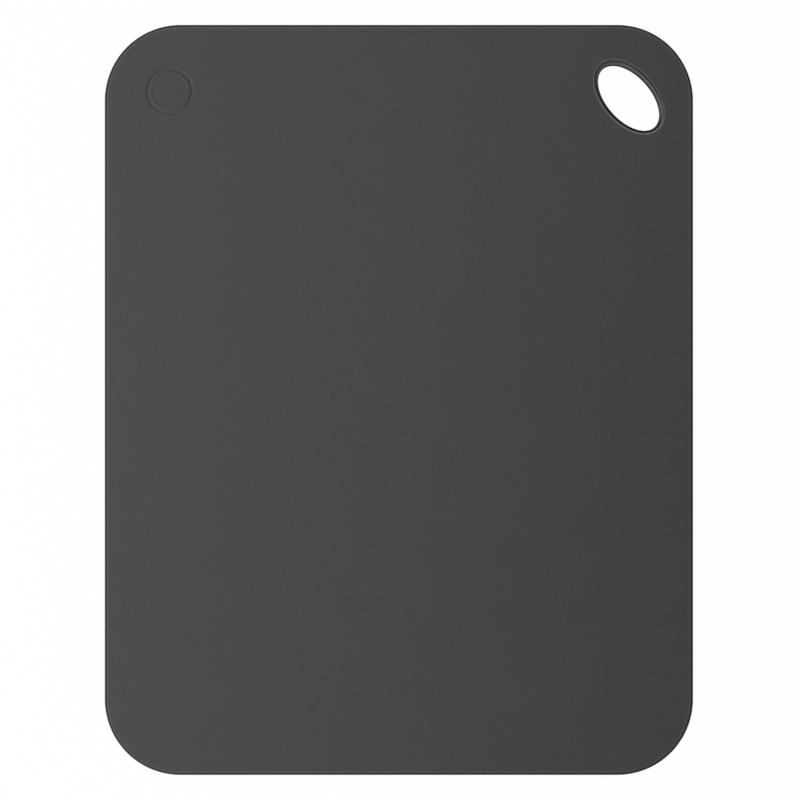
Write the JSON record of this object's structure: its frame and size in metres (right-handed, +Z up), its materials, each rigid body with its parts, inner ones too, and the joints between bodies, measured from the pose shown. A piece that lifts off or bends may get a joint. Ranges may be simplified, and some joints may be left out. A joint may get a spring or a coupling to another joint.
{
  "type": "flexible cutting mat",
  "caption": "Thin flexible cutting mat with rounded corners, a slanted oval hanging hole and a moulded ring; its sides curl up into a trough.",
  "frame": {"origin": "centre of the underside, on the surface that the mat lies on", "axes": "+Z up out of the cutting face; +Y along the length, towards the end with the hanging hole and the ring; +X towards the side with the hanging hole"},
  "size_m": [0.2794, 0.3562, 0.0026],
  "materials": {
    "mat_plastic": "fine satin, charcoal grey"
  },
  "bodies": {
    "middle_strip": {"middle_strip": "mat_plastic"},
    "right_strip_1": {"right_strip_1": "mat_plastic"},
    "right_strip_2": {"right_strip_2": "mat_plastic"},
    "right_strip_3": {"right_strip_3": "mat_plastic"},
    "right_strip_4": {"right_strip_4": "mat_plastic"},
    "right_strip_5": {"right_strip_5": "mat_plastic"},
    "right_strip_6": {"right_strip_6": "mat_plastic"},
    "right_strip_7": {"right_strip_7": "mat_plastic"},
    "right_strip_8": {"right_strip_8": "mat_plastic"},
    "right_strip_9": {"right_strip_9": "mat_plastic"},
    "right_hand_panel": {"right_hand_panel": "mat_plastic"},
    "left_strip_1": {"left_strip_1": "mat_plastic"},
    "left_strip_2": {"left_strip_2": "mat_plastic"},
    "left_strip_3": {"left_strip_3": "mat_plastic"},
    "left_strip_4": {"left_strip_4": "mat_plastic"},
    "left_strip_5": {"left_strip_5": "mat_plastic"},
    "left_strip_6": {"left_strip_6": "mat_plastic"},
    "left_strip_7": {"left_strip_7": "mat_plastic"},
    "left_strip_8": {"left_strip_8": "mat_plastic"},
    "left_strip_9": {"left_strip_9": "mat_plastic"},
    "left_hand_panel": {"left_hand_panel": "mat_plastic"}
  },
  "joints": [
    {"name": "right_bend_1", "type": "hinge", "parent": "middle_strip", "child": "right_strip_1", "pos_m": [0.00458, 0, 0.0026], "axis": [0, -1, 0], "range_deg": [0, 9], "stiffness_Nm_per_rad": 3},
    {"name": "right_bend_2", "type": "hinge", "parent": "right_strip_1", "child": "right_strip_2", "pos_m": [0.01374, 0, 0.0026], "axis": [0, -1, 0], "range_deg": [0, 9], "stiffness_Nm_per_rad": 3},
    {"name": "right_bend_3", "type": "hinge", "parent": "right_strip_2", "child": "right_strip_3", "pos_m": [0.02291, 0, 0.0026], "axis": [0, -1, 0], "range_deg": [0, 9], "stiffness_Nm_per_rad": 3},
    {"name": "right_bend_4", "type": "hinge", "parent": "right_strip_3", "child": "right_strip_4", "pos_m": [0.03207, 0, 0.0026], "axis": [0, -1, 0], "range_deg": [0, 9], "stiffness_Nm_per_rad": 3},
    {"name": "right_bend_5", "type": "hinge", "parent": "right_strip_4", "child": "right_strip_5", "pos_m": [0.04123, 0, 0.0026], "axis": [0, -1, 0], "range_deg": [0, 9], "stiffness_Nm_per_rad": 3},
    {"name": "right_bend_6", "type": "hinge", "parent": "right_strip_5", "child": "right_strip_6", "pos_m": [0.05039, 0, 0.0026], "axis": [0, -1, 0], "range_deg": [0, 9], "stiffness_Nm_per_rad": 3},
    {"name": "right_bend_7", "type": "hinge", "parent": "right_strip_6", "child": "right_strip_7", "pos_m": [0.05955, 0, 0.0026], "axis": [0, -1, 0], "range_deg": [0, 9], "stiffness_Nm_per_rad": 3},
    {"name": "right_bend_8", "type": "hinge", "parent": "right_strip_7", "child": "right_strip_8", "pos_m": [0.06872, 0, 0.0026], "axis": [0, -1, 0], "range_deg": [0, 9], "stiffness_Nm_per_rad": 3},
    {"name": "right_bend_9", "type": "hinge", "parent": "right_strip_8", "child": "right_strip_9", "pos_m": [0.07788, 0, 0.0026], "axis": [0, -1, 0], "range_deg": [0, 9], "stiffness_Nm_per_rad": 3},
    {"name": "right_bend_10", "type": "hinge", "parent": "right_strip_9", "child": "right_hand_panel", "pos_m": [0.08704, 0, 0.0026], "axis": [0, -1, 0], "range_deg": [0, 9], "stiffness_Nm_per_rad": 3},
    {"name": "left_bend_1", "type": "hinge", "parent": "middle_strip", "child": "left_strip_1", "pos_m": [-0.00458, 0, 0.0026], "axis": [0, 1, 0], "range_deg": [0, 9], "stiffness_Nm_per_rad": 3},
    {"name": "left_bend_2", "type": "hinge", "parent": "left_strip_1", "child": "left_strip_2", "pos_m": [-0.01374, 0, 0.0026], "axis": [0, 1, 0], "range_deg": [0, 9], "stiffness_Nm_per_rad": 3},
    {"name": "left_bend_3", "type": "hinge", "parent": "left_strip_2", "child": "left_strip_3", "pos_m": [-0.02291, 0, 0.0026], "axis": [0, 1, 0], "range_deg": [0, 9], "stiffness_Nm_per_rad": 3},
    {"name": "left_bend_4", "type": "hinge", "parent": "left_strip_3", "child": "left_strip_4", "pos_m": [-0.03207, 0, 0.0026], "axis": [0, 1, 0], "range_deg": [0, 9], "stiffness_Nm_per_rad": 3},
    {"name": "left_bend_5", "type": "hinge", "parent": "left_strip_4", "child": "left_strip_5", "pos_m": [-0.04123, 0, 0.0026], "axis": [0, 1, 0], "range_deg": [0, 9], "stiffness_Nm_per_rad": 3},
    {"name": "left_bend_6", "type": "hinge", "parent": "left_strip_5", "child": "left_strip_6", "pos_m": [-0.05039, 0, 0.0026], "axis": [0, 1, 0], "range_deg": [0, 9], "stiffness_Nm_per_rad": 3},
    {"name": "left_bend_7", "type": "hinge", "parent": "left_strip_6", "child": "left_strip_7", "pos_m": [-0.05955, 0, 0.0026], "axis": [0, 1, 0], "range_deg": [0, 9], "stiffness_Nm_per_rad": 3},
    {"name": "left_bend_8", "type": "hinge", "parent": "left_strip_7", "child": "left_strip_8", "pos_m": [-0.06872, 0, 0.0026], "axis": [0, 1, 0], "range_deg": [0, 9], "stiffness_Nm_per_rad": 3},
    {"name": "left_bend_9", "type": "hinge", "parent": "left_strip_8", "child": "left_strip_9", "pos_m": [-0.07788, 0, 0.0026], "axis": [0, 1, 0], "range_deg": [0, 9], "stiffness_Nm_per_rad": 3},
    {"name": "left_bend_10", "type": "hinge", "parent": "left_strip_9", "child": "left_hand_panel", "pos_m": [-0.08704, 0, 0.0026], "axis": [0, 1, 0], "range_deg": [0, 9], "stiffness_Nm_per_rad": 3}
  ],
  "couplings": [
    {"joint": "right_bend_2", "follows": "right_bend_1", "ratio": 1},
    {"joint": "right_bend_3", "follows": "right_bend_1", "ratio": 1},
    {"joint": "right_bend_4", "follows": "right_bend_1", "ratio": 1},
    {"joint": "right_bend_5", "follows": "right_bend_1", "ratio": 1},
    {"joint": "right_bend_6", "follows": "right_bend_1", "ratio": 1},
    {"joint": "right_bend_7", "follows": "right_bend_1", "ratio": 1},
    {"joint": "right_bend_8", "follows": "right_bend_1", "ratio": 1},
    {"joint": "right_bend_9", "follows": "right_bend_1", "ratio": 1},
    {"joint": "right_bend_10", "follows": "right_bend_1", "ratio": 1},
    {"joint": "left_bend_2", "follows": "left_bend_1", "ratio": 1},
    {"joint": "left_bend_3", "follows": "left_bend_1", "ratio": 1},
    {"joint": "left_bend_4", "follows": "left_bend_1", "ratio": 1},
    {"joint": "left_bend_5", "follows": "left_bend_1", "ratio": 1},
    {"joint": "left_bend_6", "follows": "left_bend_1", "ratio": 1},
    {"joint": "left_bend_7", "follows": "left_bend_1", "ratio": 1},
    {"joint": "left_bend_8", "follows": "left_bend_1", "ratio": 1},
    {"joint": "left_bend_9", "follows": "left_bend_1", "ratio": 1},
    {"joint": "left_bend_10", "follows": "left_bend_1", "ratio": 1}
  ]
}
